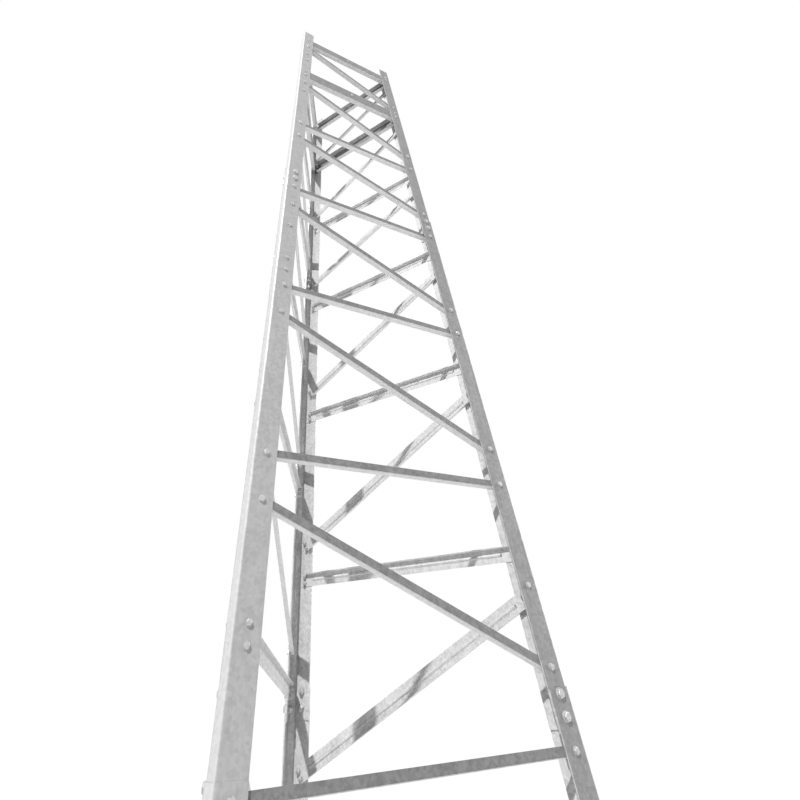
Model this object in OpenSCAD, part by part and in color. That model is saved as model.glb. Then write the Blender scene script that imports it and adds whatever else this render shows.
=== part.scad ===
// Self-supporting three-legged lattice tower of galvanized, cold-formed steel, all bolted.
// The origin is at ground level in the middle of the rectangle that the feet stand in.
// +Z is up, and the front face looks along -Y.

/* [Tower] */
// Width of a face at the ground, corner to corner of the leg lines
base_width = 1426; // [1300:1:1550]
// Height of the leg tops above the ground
tower_height = 6170; // [6100:1:6250]
// Face width lost for each unit of height
taper = 0.085; // [0.07:0.005:0.095]

/* [Legs] */
// Width of a leg's flange, from its bend to its edge
leg_flange = 84; // [78:1:92]
// Width of a leg's flat nose between its two bends
leg_nose = 25; // [20:1:30]
// Thickness of the leg plate
leg_plate = 5; // [4:0.5:6]
// Radius of a leg's bends, outside
leg_bend = 9; // [7:0.5:10]
// Height of the top edge of the right and back lower legs
lower_splice = 1520; // [1500:1:1540]
// How much lower than that the left lower leg ends
left_splice_drop = 130; // [125:1:150]
// Height of the top edge of the middle legs
upper_splice = 4020; // [4000:1:4040]
// Length over which one leg laps outside the next
splice_lap = 120; // [100:1:130]

/* [Bracing] */
// Height of the web of the front face's bars
front_depth = 30; // [26:1:34]
// Width of the flange of the front face's bars
front_flange = 32; // [26:1:36]
// Height of the web of the other two faces' bars
side_depth = 60; // [54:1:64]
// Width of the flange of the other two faces' bars
side_flange = 22; // [18:1:26]
// Thickness of a bar's plate
bar_plate = 3; // [2.5:0.5:4]
// Radius of the stiffening bead pressed along the side bars' webs
bead_radius = 5; // [4:0.5:6]
// Distance along a leg between a rung's bolt and its brace's bolt
brace_gap = 165; // [150:1:180]
// Height of the web of a head channel, for the top one and the one below it
head_depths = [95, 120]; // [70:1:130]
// Width of a head channel's flanges
head_flange = 34; // [28:1:38]
// Thickness of a head channel's plate
head_plate = 4; // [3:0.5:5]

/* [Feet] */
// Side of a square foot plate
foot_side = 210; // [200:1:230]
// Thickness of a foot plate
foot_plate = 14; // [12:1:20]
// Height of the stub that stands on a foot plate, inside its leg
stub_height = 110; // [90:1:120]
// Diameter of the circle that a foot's anchor holes lie on
anchor_circle = 200; // [190:1:210]
// Diameter of an anchor hole
anchor_hole = 22; // [18:1:24]

/* [Hidden] */
root3 = sqrt(3);
leg_radius = base_width / root3;      // from the axis to a leg line at the ground
apothem = base_width / (2 * root3);   // from the axis to a face at the ground
leg_lean = atan(taper / root3);
face_lean = atan(taper / (2 * root3));
end_margin = 27;                      // from a bar's bolt to its end
cope = 34;                            // bare web left at a bar's end
bead_gap = 80;                        // from a bead's end to the bar's end
splice_lift = 60;                     // added under a brace that starts above a splice
seat_margin = 45;                     // from a bar's bolt to the top of its web, at the most
least_bay = 350;                      // between the last rung and the head channels
least_braced_bay = 530;               // a bay lower than this has no brace
head_gap = 120;                       // from a head channel's bolt to its brace's bolt
bolt_line = leg_nose + leg_flange / 2;
LEG_ANGLE = [210, 330, 90];           // left, right, back
// Rungs of the front, right and left faces: lowest level, and bay height over face width
FIRST_RUNG = [412, 985, 656];
BAY_RATIO = [0.675, 0.73, 0.70];
// First and second leg of each face, as seen from outside
FACE_LEGS = [[0, 1], [1, 2], [2, 0]];
// 1 where the brace falls from the face's first leg to its second, -1 where it rises
FALLS = [1, 1, -1];
// How much a face's rungs rise from its first leg to its second, for each unit of width
RUNG_RISE = [0, 0, 0.18];
HEAD_LEVEL = [6005, 5370];
foot_radius = leg_radius - 50;        // from the axis to a foot's centre
// From the tower's axis forward to the middle of the feet's rectangle
axis_offset = (foot_radius * (1 - sin(30)) + foot_side / 2 * (1 - cos(30) - sin(30))) / 2;
LOWER_SPLICE = [lower_splice - left_splice_drop, lower_splice, lower_splice];
$fn = 48;

function face_width(z) = base_width - taper * z;
// Rung levels of a face, each one bay above the last
function rungs(face, z) = z > HEAD_LEVEL[1] - least_bay ? [] :
    concat([z], rungs(face, z + BAY_RATIO[face] * face_width(z)));
// Level of a rung at the face's first (-1) or second (1) leg; the ground and the head are level
function at_leg(face, z, side) = z == 0 || z == HEAD_LEVEL[1] ? z :
    z + side * RUNG_RISE[face] * face_width(z) / 2;
// Section of a leg at height z, above the lower end of its lap: 0 lower, 1 middle, 2 upper
function section_at(z, splice = lower_splice) =
    z < splice - splice_lap ? 0 : z < upper_splice - splice_lap ? 1 : 2;
// Lower and upper end of a leg's section
function span_of(leg, section) =
    section == 0 ? [0, LOWER_SPLICE[leg]] :
    section == 1 ? [LOWER_SPLICE[leg] - splice_lap, upper_splice] :
                   [upper_splice - splice_lap, tower_height];
// The lower a section, the further out its plates lie, so that the legs nest
function step_out(section) = (2 - section) * leg_plate;
// Where a bar's web lies on a leg's flange: inside the innermost plate at that height
function seat(leg, z) = leg_plate - step_out(section_at(z + seat_margin, LOWER_SPLICE[leg]));

// Outline of a leg: two flanges at 60 degrees and a flat nose that points along +X
module leg_outline(section) {
    out = step_out(section);
    nose = leg_nose + out / cos(30);
    reach = leg_nose + leg_flange + 2 * out * cos(30);
    bend = leg_bend + out;
    corner = 2 * out;
    bend_x = corner - nose * cos(30) - bend;
    bend_y = nose / 2 - bend * tan(30);
    function arc(side, r, from, to) =
        [for (i = [0:6]) let (a = from + (to - from) * i / 6)
            [bend_x + r * cos(a), side * bend_y + r * sin(a)]];
    function tip(side, depth) =
        [corner - reach * cos(30) - depth * sin(30), side * (reach * sin(30) - depth * cos(30))];
    polygon(concat(
        [tip(1, 0)], arc(1, bend, 60, 0), arc(-1, bend, 0, -60), [tip(-1, 0)],
        [tip(-1, leg_plate)], arc(-1, bend - leg_plate, -60, 0),
        arc(1, bend - leg_plate, 0, 60), [tip(1, leg_plate)]));
}

module on_leg(leg) {
    rotate([0, 0, LEG_ANGLE[leg]]) translate([leg_radius, 0, 0]) rotate([0, -leg_lean, 0]) children();
}

// The lowest one starts below the ground, and is cut level with the top of its foot plate
module leg(leg, section) {
    start = section == 0 ? -foot_plate : span_of(leg, section)[0];
    height = span_of(leg, section)[1] - start;
    color("silver")
    intersection() {
        on_leg(leg) translate([0, 0, start / cos(leg_lean)])
            linear_extrude(height / cos(leg_lean)) leg_outline(section);
        translate([-base_width, -base_width, foot_plate])
            cube([2 * base_width, 2 * base_width, 2 * tower_height]);
    }
}

// Frame of a face: X along it, Z up its slope, Y inward from the legs' outer skin
module on_face(face) {
    rotate([0, 0, 120 * face]) translate([0, -apothem, 0]) rotate([-face_lean, 0, 0]) children();
}

// Quarter bend in a plate's outline, its outer corner at (0, 0) and its legs along +X and -Y
function outer_bend(r) = [for (i = [0:4]) [r - r * cos(22.5 * i), r * sin(22.5 * i) - r]];
function inner_bend(r, plate) =
    [for (i = [4:-1:0]) [r - (r - plate) * cos(22.5 * i), (r - plate) * sin(22.5 * i) - r]];
function lifted(points, y) = [for (p = points) [p[0], p[1] + y]];
function flipped(points) = [for (i = [len(points) - 1:-1:0]) [points[i][0], -points[i][1]]];

// Outline of a formed plate: the web up Y, with a flange along +X at its top, or at both ends
module formed_outline(depth, flange, plate, both) {
    top = lifted(outer_bend(2 * plate), depth / 2);
    top_inside = lifted(inner_bend(2 * plate, plate), depth / 2);
    tip = [[flange, depth / 2], [flange, depth / 2 - plate]];
    polygon(concat(top, tip, top_inside,
        both ? concat(flipped(top_inside), flipped(tip), flipped(top))
             : [[plate, -depth / 2], [0, -depth / 2]]));
}

// Length of a formed plate along X and centred, its flanges cut back at the ends
module formed_bar(length, depth, flange, plate, both) {
    difference() {
        rotate([90, 0, 90]) linear_extrude(length, center = true)
            formed_outline(depth, flange, plate, both);
        for (side = [-1, 1])
            translate([side * length / 2 - cope, plate, -depth])
                cube([2 * cope, flange, 2 * depth]);
    }
}

// Rod of the bead's outline, along X in the plane of a web's outer skin, its ends sloping in;
// it starts that far below the skin
module bead_core(length, radius, below) {
    intersection() {
        rotate([0, 90, 0]) cylinder(r = radius, h = length + 2 * below, center = true, $fn = 12);
        linear_extrude(2 * radius + 2, center = true)
            polygon([[-length / 2 - below, -below], [length / 2 + below, -below],
                     [length / 2 - radius, radius], [-length / 2 + radius, radius]]);
    }
}

// Angle whose web has a bead pressed inward along its middle
module beaded_bar(length) {
    bead_length = length - 2 * bead_gap;
    difference() {
        union() {
            formed_bar(length, side_depth, side_flange, bar_plate, false);
            bead_core(bead_length + 3 * bar_plate, bead_radius + bar_plate, 0);
        }
        bead_core(bead_length, bead_radius, 1);
    }
}

// Puts a bar between the bolts on both legs of a face, from height z_first on its first leg
// to z_second on its second, and gives it its length; each end lies flat on its leg
module between_legs(face, z_first, z_second) {
    x_first = -(face_width(z_first) / 2 - bolt_line);
    x_second = face_width(z_second) / 2 - bolt_line;
    y_first = seat(FACE_LEGS[face][0], z_first);
    y_second = seat(FACE_LEGS[face][1], z_second);
    rise = (z_second - z_first) / cos(face_lean);
    run = x_second - x_first;
    span = norm([run, rise]);
    $bar_length = span + 2 * end_margin;
    color("lightgrey")
    on_face(face)
        translate([(x_first + x_second) / 2, (y_first + y_second) / 2,
                   (z_first + z_second) / 2 / cos(face_lean)])
            rotate([0, -atan2(rise, run), 0]) rotate([0, 0, atan2(y_second - y_first, span)])
                children();
}

// The front face has plain narrow angles, and the other two have deep beaded ones.
// All have their flange at the lower edge but the beaded rungs, which have it on top.
module face_bar(face, z_first, z_second, flange_up) {
    between_legs(face, z_first, z_second)
        mirror([0, 0, flange_up ? 0 : 1])
            if (face == 0) formed_bar($bar_length, front_depth, front_flange, bar_plate, false);
            else beaded_bar($bar_length);
}

module rungs_of(face, section) {
    for (z = rungs(face, FIRST_RUNG[face]))
        if (section_at(z) == section)
            face_bar(face, at_leg(face, z, -1), at_leg(face, z, 1), face > 0);
}

// Brace from low on one leg to high on the other, the way round that suits its face
module brace(face, low, high) {
    face_bar(face, FALLS[face] > 0 ? high : low, FALLS[face] > 0 ? low : high, false);
}

// Braces run from just under each rung on one leg to just above the rung below on the other,
// and clear a leg splice by as much again
module braces_of(face, section) {
    levels = concat([0], rungs(face, FIRST_RUNG[face]), [HEAD_LEVEL[1]]);
    for (i = [1:len(levels) - 1]) {
        below = levels[i - 1];
        above = levels[i];
        spliced = below > 0 && section_at(below) != section_at(above);
        low = at_leg(face, below, FALLS[face]) + brace_gap + (spliced ? splice_lift : 0);
        high = at_leg(face, above, -FALLS[face]) - brace_gap;
        if (above - below > least_braced_bay && section_at(low) == section)
            brace(face, low, high);
    }
}

// Two channels near the top of a face and the brace between them
module head_channels(face) {
    for (i = [0:1])
        between_legs(face, HEAD_LEVEL[i], HEAD_LEVEL[i])
            formed_bar($bar_length, head_depths[i], head_flange, head_plate, true);
    brace(face, HEAD_LEVEL[1] + head_gap, HEAD_LEVEL[0] - head_gap);
}

// Square plate with four anchor holes, and the stub that its leg is bolted round
module foot(leg) {
    color("silver") {
        rotate([0, 0, LEG_ANGLE[leg]]) translate([foot_radius, 0, 0])
            difference() {
                translate([-foot_side / 2, -foot_side / 2, 0])
                    cube([foot_side, foot_side, foot_plate]);
                for (turn = [45:90:315])
                    rotate([0, 0, turn]) translate([anchor_circle / 2, 0, -1])
                        cylinder(d = anchor_hole, h = foot_plate + 2);
            }
        intersection() {
            on_leg(leg) linear_extrude(stub_height) leg_outline(1);
            translate([-base_width, -base_width, foot_plate - 1])
                cube([2 * base_width, 2 * base_width, stub_height]);
        }
    }
}

module on_base() {
    translate([0, -axis_offset, 0]) children();
}

on_base() leg(0, 0);  // left_leg_lower
on_base() leg(0, 1);  // left_leg_middle
on_base() leg(0, 2);  // left_leg_upper
on_base() leg(1, 0);  // right_leg_lower
on_base() leg(1, 1);  // right_leg_middle
on_base() leg(1, 2);  // right_leg_upper
on_base() leg(2, 0);  // back_leg_lower
on_base() leg(2, 1);  // back_leg_middle
on_base() leg(2, 2);  // back_leg_upper
on_base() rungs_of(0, 0);  // front_rungs_lower
on_base() rungs_of(0, 1);  // front_rungs_middle
on_base() rungs_of(0, 2);  // front_rungs_upper
on_base() rungs_of(1, 0);  // right_rungs_lower
on_base() rungs_of(1, 1);  // right_rungs_middle
on_base() rungs_of(1, 2);  // right_rungs_upper
on_base() rungs_of(2, 0);  // left_rungs_lower
on_base() rungs_of(2, 1);  // left_rungs_middle
on_base() rungs_of(2, 2);  // left_rungs_upper
on_base() braces_of(0, 0);  // front_braces_lower
on_base() braces_of(0, 1);  // front_braces_middle
on_base() braces_of(0, 2);  // front_braces_upper
on_base() braces_of(1, 0);  // right_braces_lower
on_base() braces_of(1, 1);  // right_braces_middle
on_base() braces_of(1, 2);  // right_braces_upper
on_base() braces_of(2, 0);  // left_braces_lower
on_base() braces_of(2, 1);  // left_braces_middle
on_base() braces_of(2, 2);  // left_braces_upper
on_base() head_channels(0);  // front_head_channels
on_base() head_channels(1);  // right_head_channels
on_base() head_channels(2);  // left_head_channels
on_base() foot(0);  // left_foot
on_base() foot(1);  // right_foot
on_base() foot(2);  // back_foot
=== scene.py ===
import math

import bmesh
import bpy
import numpy as np
from mathutils import Matrix, Vector


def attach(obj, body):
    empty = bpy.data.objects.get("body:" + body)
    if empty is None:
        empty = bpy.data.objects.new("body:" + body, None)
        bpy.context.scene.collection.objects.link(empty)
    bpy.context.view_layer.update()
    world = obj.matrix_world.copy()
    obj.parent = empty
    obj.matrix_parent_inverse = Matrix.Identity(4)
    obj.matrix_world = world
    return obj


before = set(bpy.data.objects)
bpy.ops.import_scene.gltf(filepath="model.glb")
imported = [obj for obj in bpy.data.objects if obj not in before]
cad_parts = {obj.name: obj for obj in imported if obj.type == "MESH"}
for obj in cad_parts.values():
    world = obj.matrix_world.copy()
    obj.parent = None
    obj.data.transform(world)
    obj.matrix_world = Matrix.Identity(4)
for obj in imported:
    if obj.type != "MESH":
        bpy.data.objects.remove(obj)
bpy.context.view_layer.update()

scene = bpy.context.scene

# Three-legged lattice tower of folded, galvanized steel, bolted together. The sections below
# follow the order in which it is put up: feet, legs, rungs, braces and head channels, each
# with its own finish and fasteners, after the camera and the light.

# ------------------------------------------------------------------------------------ Camera
# A wide lens at eye height, two paces in front of the front face and left of its middle,
# tipped up so that the whole head of the tower is in view.
eye = Vector((-1.037, -2.107, 1.628))
heading, tilt, roll = math.radians(27.15), math.radians(36.40), math.radians(-2.04)
ahead = Vector((math.sin(heading) * math.cos(tilt),
                math.cos(heading) * math.cos(tilt),
                math.sin(tilt)))
level_right = Vector((math.cos(heading), -math.sin(heading), 0))
level_up = level_right.cross(ahead)
right = level_right * math.cos(roll) + level_up * math.sin(roll)
up = level_up * math.cos(roll) - level_right * math.sin(roll)
camera_data = bpy.data.cameras.new("camera")
camera_data.sensor_width = 36
camera_data.lens = 20.57
camera_data.shift_x = 0.0751
camera_data.shift_y = -0.1002
camera = bpy.data.objects.new("camera", camera_data)
scene.collection.objects.link(camera)
facing = Matrix((right, up, -ahead)).transposed().to_4x4()
camera.matrix_world = Matrix.Translation(eye) @ facing
scene.camera = camera

# ------------------------------------------------------------------------- Light and ground
# A pale sky, a sun over the left shoulder, a weak glow from the far right, and a plain pale
# floor. Sky and floor read as white behind the steel.
scene.view_settings.view_transform = "Standard"
sky_level = 0.15
floor_glow = 0.14


def shown_white(tree, strength, to_input):
    """Sends an input the second strength for camera, glossy and clear rays, else the first."""
    path = tree.nodes.new("ShaderNodeLightPath")
    level = tree.nodes.new("ShaderNodeMapRange")
    level.inputs["To Min"].default_value, level.inputs["To Max"].default_value = strength
    seen = path.outputs["Is Camera Ray"]
    for label in ("Is Glossy Ray", "Is Transmission Ray"):
        either = tree.nodes.new("ShaderNodeMath")
        either.operation = "MAXIMUM"
        tree.links.new(seen, either.inputs[0])
        tree.links.new(path.outputs[label], either.inputs[1])
        seen = either.outputs[0]
    tree.links.new(seen, level.inputs["Value"])
    tree.links.new(level.outputs["Result"], to_input)


world = bpy.data.worlds.new("sky")
scene.world = world
world.use_nodes = True
sky = world.node_tree.nodes["Background"]
sky.inputs["Color"].default_value = (1, 1, 1, 1)
shown_white(world.node_tree, (sky_level, 1.0), sky.inputs["Strength"])


def lamp(name, level, bearing, height, softness):
    """Distant lamp, its bearing, height and softness in degrees; level 1 lights white as white."""
    data = bpy.data.lights.new(name, "SUN")
    data.energy = level * math.pi
    data.angle = math.radians(softness)
    made = bpy.data.objects.new(name, data)
    scene.collection.objects.link(made)
    bearing, height = math.radians(bearing), math.radians(height)
    towards = Vector((math.sin(bearing) * math.cos(height),
                      math.cos(bearing) * math.cos(height),
                      math.sin(height)))
    made.rotation_mode = "QUATERNION"
    made.rotation_quaternion = towards.to_track_quat("Z", "Y")


lamp("sun", level=1.3, bearing=226.5, height=44, softness=1.2)
lamp("far_glow", level=0.75, bearing=95, height=20, softness=50)

floor_reach = 150.0
floor_mesh = bpy.data.meshes.new("floor")
corners = ((-1, -1), (1, -1), (1, 1), (-1, 1))
floor_mesh.from_pydata([(x * floor_reach, y * floor_reach, 0) for x, y in corners], [],
                       [(0, 1, 2, 3)])
floor = bpy.data.objects.new("floor", floor_mesh)
scene.collection.objects.link(floor)
floor_paint = bpy.data.materials.new("floor_paint")
floor_paint.use_nodes = True
paint = floor_paint.node_tree.nodes["Principled BSDF"]
paint.inputs["Base Color"].default_value = (0.68, 0.68, 0.68, 1)
paint.inputs["Roughness"].default_value = 0.9
paint.inputs["Specular IOR Level"].default_value = 0.0
paint.inputs["Emission Color"].default_value = (1, 1, 1, 1)
shown_white(floor_paint.node_tree, (0.0, floor_glow), paint.inputs["Emission Strength"])
floor_mesh.materials.append(floor_paint)


# -------------------------------------------------------------------------------------- Feet
# Square base plates with a stub that the leg is bolted round, welded up and hot-dip
# galvanized: the dullest and dirtiest steel of the tower, splashed from the ground.
def add_group(name, inputs, outputs):
    """New shader node group, with its input and output nodes; inputs are (name, kind, value)."""
    group = bpy.data.node_groups.new(name, "ShaderNodeTree")
    for label, kind, value in inputs:
        socket = group.interface.new_socket(label, in_out="INPUT", socket_type=kind)
        socket.default_value = value
    for label, kind in outputs:
        group.interface.new_socket(label, in_out="OUTPUT", socket_type=kind)
    return group, group.nodes.new("NodeGroupInput"), group.nodes.new("NodeGroupOutput")


def calc(tree, operation, first, second):
    """Math node on two sockets or numbers; returns its output socket."""
    node = tree.nodes.new("ShaderNodeMath")
    node.operation = operation
    for socket, value in zip(node.inputs, (first, second)):
        if isinstance(value, (int, float)):
            socket.default_value = value
        else:
            tree.links.new(value, socket)
    return node.outputs[0]


def aim(tree, operation, first, second):
    """Vector Math node on two sockets or vectors; returns the node."""
    node = tree.nodes.new("ShaderNodeVectorMath")
    node.operation = operation
    for socket, value in zip(node.inputs, (first, second)):
        if isinstance(value, tuple):
            socket.default_value = value
        elif value is not None:
            tree.links.new(value, socket)
    return node


def spread(tree, value, low, high, to_low, to_high):
    """Map Range node from low..high to to_low..to_high, clamped; returns its output socket."""
    node = tree.nodes.new("ShaderNodeMapRange")
    tree.links.new(value, node.inputs["Value"])
    for label, number in (("From Min", low), ("From Max", high),
                          ("To Min", to_low), ("To Max", to_high)):
        node.inputs[label].default_value = number
    return node.outputs["Result"]


def noise(tree, vector, scale, detail, roughness=0.5, output="Fac"):
    """Noise Texture node; returns its output socket."""
    node = tree.nodes.new("ShaderNodeTexNoise")
    tree.links.new(vector, node.inputs["Vector"])
    node.inputs["Scale"].default_value = scale
    node.inputs["Detail"].default_value = detail
    node.inputs["Roughness"].default_value = roughness
    return node.outputs[output]


def blend(tree, amount, first, second):
    """Mix of two colours, each a socket or a grey; returns the output socket."""
    node = tree.nodes.new("ShaderNodeMix")
    node.data_type = "RGBA"
    tree.links.new(amount, node.inputs[0])
    for socket, colour in ((node.inputs[6], first), (node.inputs[7], second)):
        if isinstance(colour, (int, float)):
            socket.default_value = (colour, colour, colour, 1)
        else:
            tree.links.new(colour, socket)
    return node.outputs[2]


# Crystals of the zinc coat: angular patches, each a little lighter or darker, with bent edges
# and fine feathers in them
bend_scale, bend_reach = 40, 0.012
feather_scale, feather_share = 420, 0.3
spangle, spangle_in, spangle_out = add_group(
    "zinc_spangle",
    [("Vector", "NodeSocketVector", (0, 0, 0)), ("Crystals per metre", "NodeSocketFloat", 90.0)],
    [("Tone", "NodeSocketFloat"), ("Height", "NodeSocketFloat")])
bent = noise(spangle, spangle_in.outputs["Vector"], bend_scale, 2, output="Color")
bent = aim(spangle, "MULTIPLY", bent, (bend_reach, bend_reach, bend_reach)).outputs[0]
bent = aim(spangle, "ADD", bent, spangle_in.outputs["Vector"]).outputs[0]
crystals = spangle.nodes.new("ShaderNodeTexVoronoi")
crystals.feature = "SMOOTH_F1"
crystals.inputs["Smoothness"].default_value = 0.25
spangle.links.new(bent, crystals.inputs["Vector"])
spangle.links.new(spangle_in.outputs["Crystals per metre"], crystals.inputs["Scale"])
each = spangle.nodes.new("ShaderNodeSeparateColor")
spangle.links.new(crystals.outputs["Color"], each.inputs["Color"])
feathers = noise(spangle, bent, feather_scale, 3, 0.6)
crystal_tone = calc(spangle, "MULTIPLY", each.outputs["Red"], 1 - feather_share)
feather_tone = calc(spangle, "MULTIPLY", feathers, feather_share)
relief = calc(spangle, "ADD", crystals.outputs["Distance"], feathers)
spangle.links.new(calc(spangle, "ADD", crystal_tone, feather_tone), spangle_out.inputs["Tone"])
spangle.links.new(relief, spangle_out.inputs["Height"])

# Dull bloom of old zinc: cloudy patches, runs drawn down the steel, and small dark specks
cloud_scale, run_scale, speck_scale = 9, 38, 150
run_squeeze = 0.13
bloom, bloom_in, bloom_out = add_group(
    "zinc_bloom",
    [("Vector", "NodeSocketVector", (0, 0, 0)), ("Seed", "NodeSocketVector", (0, 0, 0))],
    [("Cloud", "NodeSocketFloat"), ("Runs", "NodeSocketFloat"), ("Specks", "NodeSocketFloat")])
moved = aim(bloom, "ADD", bloom_in.outputs["Vector"], bloom_in.outputs["Seed"]).outputs[0]
drawn = aim(bloom, "MULTIPLY", moved, (1, 1, run_squeeze)).outputs[0]
clouds = noise(bloom, moved, cloud_scale, 5, 0.6)
runs = noise(bloom, drawn, run_scale, 4, 0.55)
specks = noise(bloom, moved, speck_scale, 3, 0.7)
bloom.links.new(spread(bloom, clouds, 0.3, 0.7, 0, 1), bloom_out.inputs["Cloud"])
bloom.links.new(spread(bloom, runs, 0.36, 0.66, 0, 1), bloom_out.inputs["Runs"])
bloom.links.new(spread(bloom, specks, 0.62, 0.72, 0, 1), bloom_out.inputs["Specks"])

# Painted light by facing: sides that face in or down are painted paler than the outer sides,
# and a leg's outer corner is painted paler as a highlight. The tower's axis is at x = 0 and this y
axis_y = -0.174109
painted_facing, painted_facing_in, painted_facing_out = add_group(
    "facing_painted_light",
    [("Vector", "NodeSocketVector", (0, 0, 0)), ("Normal", "NodeSocketVector", (0, 0, 1))],
    [("Inner", "NodeSocketFloat"), ("Under", "NodeSocketFloat"), ("Corner", "NodeSocketFloat")])
from_axis = aim(painted_facing, "ADD", painted_facing_in.outputs["Vector"], (0, -axis_y, 0)).outputs[0]
from_axis = aim(painted_facing, "MULTIPLY", from_axis, (1, 1, 0)).outputs[0]
from_axis = aim(painted_facing, "NORMALIZE", from_axis, None).outputs[0]
outward = aim(painted_facing, "DOT_PRODUCT", from_axis, painted_facing_in.outputs["Normal"]).outputs["Value"]
upward = aim(painted_facing, "DOT_PRODUCT", (0.0, 0.0, 1.0), painted_facing_in.outputs["Normal"]).outputs["Value"]
painted_facing.links.new(spread(painted_facing, outward, -0.3, 0.0, 1, 0), painted_facing_out.inputs["Inner"])
painted_facing.links.new(spread(painted_facing, upward, -0.7, -0.3, 1, 0), painted_facing_out.inputs["Under"])
painted_facing.links.new(spread(painted_facing, outward, 0.8, 0.93, 0, 1), painted_facing_out.inputs["Corner"])


gloss_swing = 0.1


def zinc(name, outer, inner, dull, crystals_per_metre, seed, patchy=0.35, runny=0.35,
         speckled=0.35, metal=0.2, under=(0.68, 0.84), corner=None):
    """Galvanized steel. Each side's tones are a dark and a light grey; dull is the roughness.
    Inner, under and corner tones are painted light by the way a side faces.
    """
    made = bpy.data.materials.new(name)
    made.use_nodes = True
    tree = made.node_tree
    shader = tree.nodes["Principled BSDF"]
    place = tree.nodes.new("ShaderNodeTexCoord")
    groups = {}
    for group in (spangle, bloom, painted_facing):
        groups[group] = tree.nodes.new("ShaderNodeGroup")
        groups[group].node_tree = group
        tree.links.new(place.outputs["Object"], groups[group].inputs["Vector"])
    coat, age, side = groups[spangle], groups[bloom], groups[painted_facing]
    coat.inputs["Crystals per metre"].default_value = crystals_per_metre
    age.inputs["Seed"].default_value = seed
    tree.links.new(place.outputs["Normal"], side.inputs["Normal"])
    tone = coat.outputs["Tone"]
    for label, weight in (("Cloud", patchy), ("Runs", runny)):
        tone = calc(tree, "ADD", tone, calc(tree, "MULTIPLY", age.outputs[label], weight))
    tone = calc(tree, "DIVIDE", tone, 1 + patchy + runny)
    tone = calc(tree, "SUBTRACT", tone, calc(tree, "MULTIPLY", age.outputs["Specks"], speckled))
    tone = spread(tree, tone, 0.2, 0.8, 0, 1)
    # Painted light: sides facing in or down, and a leg's outer corner, take paler tones of their
    # own
    colour = blend(tree, side.outputs["Inner"],
                   blend(tree, tone, *outer), blend(tree, tone, *inner))
    colour = blend(tree, side.outputs["Under"], colour, blend(tree, tone, *under))
    if corner:
        colour = blend(tree, side.outputs["Corner"], colour, blend(tree, tone, *corner))
    tree.links.new(colour, shader.inputs["Base Color"])
    gloss = spread(tree, tone, 0, 1, dull + gloss_swing, dull - gloss_swing)
    tree.links.new(gloss, shader.inputs["Roughness"])
    shader.inputs["Metallic"].default_value = metal
    bump = tree.nodes.new("ShaderNodeBump")
    bump.inputs["Strength"].default_value = 0.25
    bump.inputs["Distance"].default_value = 0.0006
    tree.links.new(coat.outputs["Height"], bump.inputs["Height"])
    tree.links.new(bump.outputs["Normal"], shader.inputs["Normal"])
    return made


def dress(nodes, material):
    """Gives CAD nodes their finish."""
    for node in nodes:
        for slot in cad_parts[node].material_slots:
            slot.material = material


LEGS = ("left", "right", "back")
# Its inner and under sides are painted paler by the facing mask: painted light
foot_zinc = zinc("foot_zinc", outer=(0.28, 0.44), inner=(0.32, 0.46), dull=0.62,
                 crystals_per_metre=60, seed=(3, 1, 7), patchy=0.9, runny=0.3)
dress([f"{leg}_foot" for leg in LEGS], foot_zinc)

# -------------------------------------------------------------------------------------- Legs
# Flat plate, folded to two flanges at 60 degrees with a narrow nose, and galvanized after
# folding. Each section nests inside the one below, with two bolts through each flange there,
# and the lowest is bolted to its foot. Bolt heads are outside and nuts inside.
SECTIONS = ("lower", "middle", "upper")
# Each leg's outer tones differ, the right leg's darkest, as painted shade for how each leg's near
# side catches the light; the paler inner and corner tones are painted light
LEG_TONES = {"left": (0.32, 0.41), "right": (0.20, 0.28), "back": (0.26, 0.35)}
for leg, tones in LEG_TONES.items():
    leg_zinc = zinc(f"{leg}_leg_zinc", outer=tones, inner=(0.42, 0.64), dull=0.5,
                    crystals_per_metre=95, seed=(0, 0, 0), corner=(0.50, 0.60))
    dress([f"{leg}_leg_{section}" for section in SECTIONS], leg_zinc)

# A face is base_width wide at the ground, and taper narrower for each metre of height
base_width, taper = 1.426, 0.085
leg_plate = 0.005
bolt_line = 0.067  # from the corner of the leg to its bolts
splice_lap = 0.120
middle_top = 4.020
LOWER_TOP = {"left": 1.390, "right": 1.520, "back": 1.520}
stub_top = 0.110
face_lean = math.atan(taper / (2 * math.sqrt(3)))
axis_to_face = base_width / (2 * math.sqrt(3))
FACES = ("front", "right", "left")
FACE_LEGS = {"front": ("left", "right"), "right": ("right", "back"), "left": ("back", "left")}


def face_frame(face):
    """Frame of a face: X along it, Z up its slope, Y inward from the upper legs' outer skin."""
    return (Matrix.Translation((0, axis_y, 0))
            @ Matrix.Rotation(math.radians(120 * FACES.index(face)), 4, "Z")
            @ Matrix.Translation((0, -axis_to_face, 0))
            @ Matrix.Rotation(-face_lean, 4, "X"))


def leg_bolt(face, leg, x, z, web=0.0):
    """A bolt through a leg's flange and a web behind it: face, place on it, and thickness held."""
    skin = leg_plate * (2 if z < LOWER_TOP[leg] else 1 if z < middle_top else 0)
    lapped = (z < stub_top or 0 < LOWER_TOP[leg] - z < splice_lap
              or 0 < middle_top - z < splice_lap)
    return face, (x, -skin, z), leg_plate * (2 if lapped else 1) + web


def flange_bolts(face, leg, heights):
    """Bolts at heights on the bolt line of a leg's flange."""
    side = -1 if FACE_LEGS[face][0] == leg else 1
    return [leg_bolt(face, leg, side * ((base_width - taper * z) / 2 - bolt_line), z)
            for z in heights]


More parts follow.
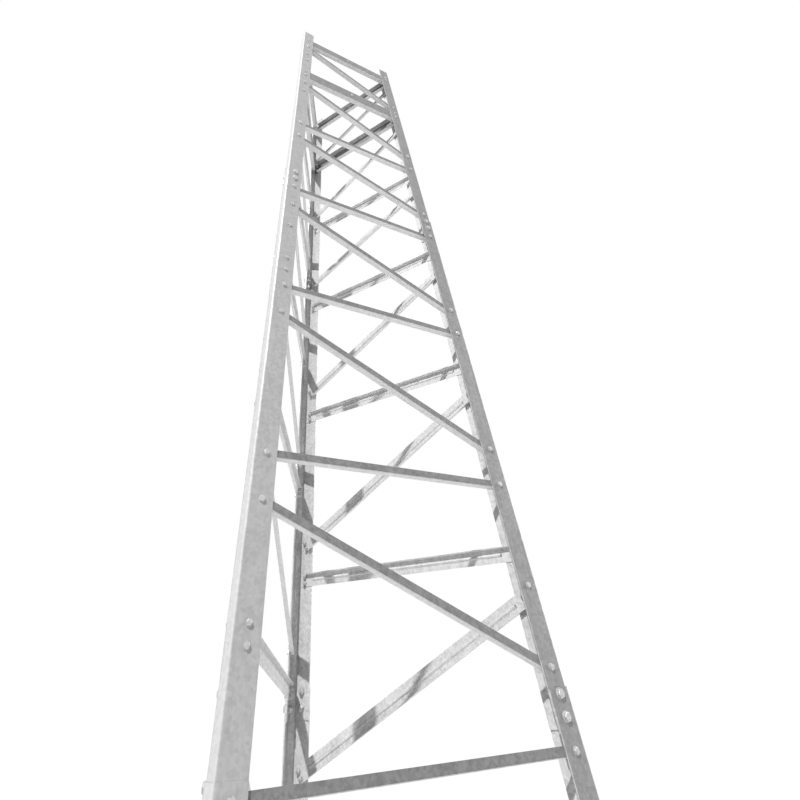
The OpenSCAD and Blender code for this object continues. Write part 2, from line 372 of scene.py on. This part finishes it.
# Bolt, washers and nut on each point, aimed along its "out" and turned by its "turn"; the nut
# is on the far side of the thickness in its "grip"
bolting = bpy.data.node_groups.new("hexagon_bolts", "GeometryNodeTree")
bolting.interface.new_socket("Points", in_out="INPUT", socket_type="NodeSocketGeometry")
for label in ("Across flats", "Head height", "Washer radius", "Washer thickness", "Nut height",
              "Shank radius", "Shank beyond nut"):
    bolting.interface.new_socket(label, in_out="INPUT", socket_type="NodeSocketFloat")
bolting.interface.new_socket("Finish", in_out="INPUT", socket_type="NodeSocketMaterial")
bolting.interface.new_socket("Fasteners", in_out="OUTPUT", socket_type="NodeSocketGeometry")
given = bolting.nodes.new("NodeGroupInput").outputs


def prism(sides, near_radius, far_radius, depth, start):
    """Prism or cone along Z of the bolt, from start for depth."""
    shape = bolting.nodes.new("GeometryNodeMeshCone")
    shape.inputs["Vertices"].default_value = sides
    for socket, value in (("Radius Bottom", near_radius), ("Radius Top", far_radius),
                          ("Depth", depth)):
        bolting.links.new(value, shape.inputs[socket])
    place = bolting.nodes.new("GeometryNodeTransform")
    offset = bolting.nodes.new("ShaderNodeCombineXYZ")
    if isinstance(start, (int, float)):
        offset.inputs["Z"].default_value = start
    else:
        bolting.links.new(start, offset.inputs["Z"])
    bolting.links.new(offset.outputs[0], place.inputs["Translation"])
    bolting.links.new(shape.outputs["Mesh"], place.inputs["Geometry"])
    return place.outputs["Geometry"]


def named(label, kind):
    """Attribute of the points, by name."""
    node = bolting.nodes.new("GeometryNodeInputNamedAttribute")
    node.data_type = kind
    node.inputs["Name"].default_value = label
    return node.outputs["Attribute"]


def on_points(points, shapes):
    """Shapes joined and put on each point, aimed and turned."""
    joined = bolting.nodes.new("GeometryNodeJoinGeometry")
    for shape in shapes:
        bolting.links.new(shape, joined.inputs[0])
    aimed = bolting.nodes.new("FunctionNodeAlignRotationToVector")
    aimed.axis = "Z"
    bolting.links.new(named("out", "FLOAT_VECTOR"), aimed.inputs["Vector"])
    placed = bolting.nodes.new("GeometryNodeInstanceOnPoints")
    bolting.links.new(points, placed.inputs["Points"])
    bolting.links.new(joined.outputs[0], placed.inputs["Instance"])
    bolting.links.new(aimed.outputs["Rotation"], placed.inputs["Rotation"])
    turned = bolting.nodes.new("GeometryNodeRotateInstances")
    spin = bolting.nodes.new("ShaderNodeCombineXYZ")
    bolting.links.new(named("turn", "FLOAT"), spin.inputs["Z"])
    bolting.links.new(placed.outputs["Instances"], turned.inputs["Instances"])
    bolting.links.new(spin.outputs[0], turned.inputs["Rotation"])
    return turned.outputs["Instances"]


# Heads and nuts are bevelled over the last part of their height, and the shank over its end
bevel_share, bevel_narrowing, shank_narrowing = 0.15, 0.86, 0.85
corner = calc(bolting, "MULTIPLY", given["Across flats"], 0.5 / math.cos(math.pi / 6))
bevelled = calc(bolting, "MULTIPLY", corner, bevel_narrowing)
washer, thin = given["Washer radius"], given["Washer thickness"]
head_body = calc(bolting, "MULTIPLY", given["Head height"], 1 - bevel_share)
head_bevel = calc(bolting, "MULTIPLY", given["Head height"], bevel_share)
heads = on_points(given["Points"], [
    prism(24, washer, washer, thin, 0),
    prism(6, corner, corner, head_body, thin),
    prism(6, corner, bevelled, head_bevel, calc(bolting, "ADD", thin, head_body))])
behind = bolting.nodes.new("GeometryNodeSetPosition")
drop = bolting.nodes.new("ShaderNodeVectorMath")
drop.operation = "SCALE"
bolting.links.new(named("out", "FLOAT_VECTOR"), drop.inputs["Vector"])
bolting.links.new(calc(bolting, "MULTIPLY", named("grip", "FLOAT"), -1), drop.inputs["Scale"])
bolting.links.new(given["Points"], behind.inputs["Geometry"])
bolting.links.new(drop.outputs[0], behind.inputs["Offset"])
nut_body = calc(bolting, "MULTIPLY", given["Nut height"], 1 - bevel_share)
nut_bevel = calc(bolting, "MULTIPLY", given["Nut height"], bevel_share)
under_washer = calc(bolting, "MULTIPLY", thin, -1)
under_body = calc(bolting, "SUBTRACT", under_washer, nut_body)
under_nut = calc(bolting, "SUBTRACT", under_body, nut_bevel)
shank, beyond = given["Shank radius"], given["Shank beyond nut"]
shank_tip = calc(bolting, "MULTIPLY", shank, shank_narrowing)
shank_end = calc(bolting, "SUBTRACT", under_nut, beyond)
nuts = on_points(behind.outputs["Geometry"], [
    prism(24, washer, washer, thin, under_washer),
    prism(6, corner, corner, nut_body, under_body),
    prism(6, bevelled, corner, nut_bevel, under_nut),
    prism(16, shank_tip, shank, beyond, shank_end)])
together = bolting.nodes.new("GeometryNodeJoinGeometry")
for part in (heads, nuts):
    bolting.links.new(part, together.inputs[0])
real = bolting.nodes.new("GeometryNodeRealizeInstances")
bolting.links.new(together.outputs[0], real.inputs["Geometry"])
finished = bolting.nodes.new("GeometryNodeSetMaterial")
bolting.links.new(real.outputs["Geometry"], finished.inputs["Geometry"])
bolting.links.new(given["Finish"], finished.inputs["Material"])
bolting.links.new(finished.outputs["Geometry"], bolting.nodes.new("NodeGroupOutput").inputs[0])

turns = np.random.default_rng(11)
# Proportions of a hexagon bolt to its width across flats, and the sizes that all bolts share
head_share, washer_share, nut_share, shank_share = 0.42, 0.68, 0.53, 0.32
washer_thickness = 0.0022
shank_beyond_nut = 0.007


def fasten(name, bolts, across_flats, finish):
    """One mesh of bolts of one size, each given by its face, place on it and thickness held."""
    cloud = bpy.data.meshes.new(name + "_points")
    cloud.from_pydata([face_frame(face) @ Vector(place) for face, place, grip in bolts], [], [])
    outs = [face_frame(face).to_3x3() @ Vector((0, -1, 0)) for face, place, grip in bolts]
    spins = turns.uniform(0, math.pi / 3, len(bolts))
    grips = [grip for face, place, grip in bolts]
    for label, kind, field, values in (("out", "FLOAT_VECTOR", "vector", np.array(outs).ravel()),
                                       ("turn", "FLOAT", "value", spins),
                                       ("grip", "FLOAT", "value", grips)):
        cloud.attributes.new(label, kind, "POINT").data.foreach_set(field, values)
    carrier = bpy.data.objects.new(name + "_carrier", cloud)
    scene.collection.objects.link(carrier)
    modifier = carrier.modifiers.new("bolting", "NODES")
    modifier.node_group = bolting
    sizes = {"Across flats": across_flats,
             "Head height": across_flats * head_share,
             "Washer radius": across_flats * washer_share,
             "Washer thickness": washer_thickness,
             "Nut height": across_flats * nut_share,
             "Shank radius": across_flats * shank_share,
             "Shank beyond nut": shank_beyond_nut,
             "Finish": finish}
    for item in bolting.interface.items_tree:
        if item.in_out == "INPUT" and item.name in sizes:
            modifier[item.identifier] = sizes[item.name]
    bpy.context.view_layer.update()
    evaluated = carrier.evaluated_get(bpy.context.evaluated_depsgraph_get())
    made = bpy.data.objects.new(name, bpy.data.meshes.new_from_object(evaluated))
    made.data.name = name
    bpy.data.objects.remove(carrier)
    scene.collection.objects.link(made)
    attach(made, "root")


# Undersides painted paler as painted light from below; inner sides a little darker
bolt_zinc = zinc("bolt_zinc", outer=(0.36, 0.56), inner=(0.34, 0.52), dull=0.42,
                 crystals_per_metre=300, seed=(4, 4, 4), patchy=0.3, runny=0.1, speckled=0.1,
                 metal=0.3)
# Two bolts to a lap, at these drops from its top. Where a bar ends on a lap, its own bolts go
# through both lengths in place of some of the lap's
upper_drop, lower_drop = 0.018, 0.081
foot_bolt_height = 0.065
splice_bolt, spare_bolt = 0.025, 0.016  # across flats
TAKEN = {("front", "left"): [LOWER_TOP["left"] - upper_drop],
         ("right", "back"): [middle_top - upper_drop, middle_top - lower_drop],
         ("left", "back"): [LOWER_TOP["back"] - upper_drop]}
for face in FACES:
    splices = []
    for leg in FACE_LEGS[face]:
        for top in (LOWER_TOP[leg], middle_top):
            heights = [top - drop for drop in (upper_drop, lower_drop)
                       if top - drop not in TAKEN.get((face, leg), ())]
            splices += flange_bolts(face, leg, heights)
        splices += flange_bolts(face, leg, (foot_bolt_height,))
    fasten(f"{face}_splice_bolts", splices, splice_bolt, bolt_zinc)
# Bolts left in the front flanges' spare holes
SPARE_HEIGHTS = {"left": (1.662, 1.718, 3.174, 3.256, 3.509, 5.068, 5.613, 5.731),
                 "right": (1.839,)}
spares = [bolt for leg in FACE_LEGS["front"]
          for bolt in flange_bolts("front", leg, SPARE_HEIGHTS[leg])]
fasten("front_spare_bolts", spares, spare_bolt, bolt_zinc)

# ------------------------------------------------------------------------------------- Rungs
# Strips folded to angles, those at the sides with a bead rolled along them, sheared to length
# and galvanized. Each end is bolted to the inner skin of a leg, a wide strip by two bolts.
# Outer sides painted dark as painted shade; inner and under sides painted pale as painted light
bar_zinc = zinc("bar_zinc", outer=(0.14, 0.23), inner=(0.44, 0.64), dull=0.5,
                crystals_per_metre=110, seed=(5, 2, 9), under=(0.74, 0.88))
dress([f"{face}_rungs_{section}" for face in FACES for section in SECTIONS], bar_zinc)

bar_plate = 0.003
end_margin = 0.027  # from a bar's end to its bolts
wide_bar = 0.05  # a bar wider than this has two bolts at each end
bolts_apart = 0.47  # as a share of the bar's width
end_slack = 0.001  # points this near to a bar's end are on it
same_point = 1e-5
bar_bolt = 0.018  # across flats


def loose_solids(node):
    """Points of each loose solid of a CAD node."""
    work = bmesh.new()
    work.from_mesh(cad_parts[node].data)
    bmesh.ops.remove_doubles(work, verts=work.verts, dist=same_point)
    work.verts.ensure_lookup_table()
    waiting, found = set(range(len(work.verts))), []
    while waiting:
        queue, solid = [waiting.pop()], []
        while queue:
            vertex = work.verts[queue.pop()]
            solid.append(vertex.co.copy())
            for edge in vertex.link_edges:
                other = edge.other_vert(vertex).index
                if other in waiting:
                    waiting.discard(other)
                    queue.append(other)
        found.append(solid)
    work.free()
    return found


def bar_bolts(face, node):
    """Bolts at both ends of each bar of a node, one through a narrow bar and two through a wide."""
    flat = face_frame(face).inverted()
    bolts = []
    for solid in loose_solids(node):
        local = np.array([flat @ point for point in solid])[:, ::2]
        along = np.linalg.svd(local - local.mean(0), full_matrices=False)[2][0]
        along = along * (1 if along[0] > 0 else -1)
        across = np.array((-along[1], along[0]))
        reach, wide = local @ along, np.ptp(local @ across)
        for side, leg in zip((-1, 1), FACE_LEGS[face]):
            end = local[side * reach > (side * reach).max() - end_slack]
            middle = (end.max(0) + end.min(0)) / 2 - along * side * end_margin
            for step in ((-0.5, 0.5) if wide > wide_bar else (0,)):
                x, z = middle + across * step * wide * bolts_apart
                bolts.append(leg_bolt(face, leg, x, z, bar_plate))
    return bolts


for face in FACES:
    bolts = [bolt for section in SECTIONS for bolt in bar_bolts(face, f"{face}_rungs_{section}")]
    fasten(f"{face}_rungs_bolts", bolts, bar_bolt, bolt_zinc)

# ------------------------------------------------------------------------------------ Braces
# The same folded strips, one to a bay, running from a leg just below one rung down to the
# other leg just above the next, and bolted in the same way.
dress([f"{face}_braces_{section}" for face in FACES for section in SECTIONS], bar_zinc)
for face in FACES:
    bolts = [bolt for section in SECTIONS for bolt in bar_bolts(face, f"{face}_braces_{section}")]
    fasten(f"{face}_braces_bolts", bolts, bar_bolt, bolt_zinc)

# ----------------------------------------------------------------------------- Head channels
# Two folded and galvanized channels to a face, deeper than the rungs, with a short brace
# between them. They stiffen the head, bolted to the legs at their ends, and each has one more
# small bolt at mid-length.
# Undersides painted pale as painted light from below
channel_zinc = zinc("channel_zinc", outer=(0.17, 0.25), inner=(0.17, 0.26), dull=0.5,
                    crystals_per_metre=90, seed=(8, 6, 2), under=(0.62, 0.80))
dress([f"{face}_head_channels" for face in FACES], channel_zinc)

CHANNEL_HEIGHTS = (5.370, 6.005)
head_bolt = 0.015  # across flats
for face in FACES:
    bolts = bar_bolts(face, f"{face}_head_channels")
    for height in CHANNEL_HEIGHTS:
        bolts.append((face, (0, leg_plate, height), bar_plate))
    fasten(f"{face}_head_bolts", bolts, head_bolt, bolt_zinc)
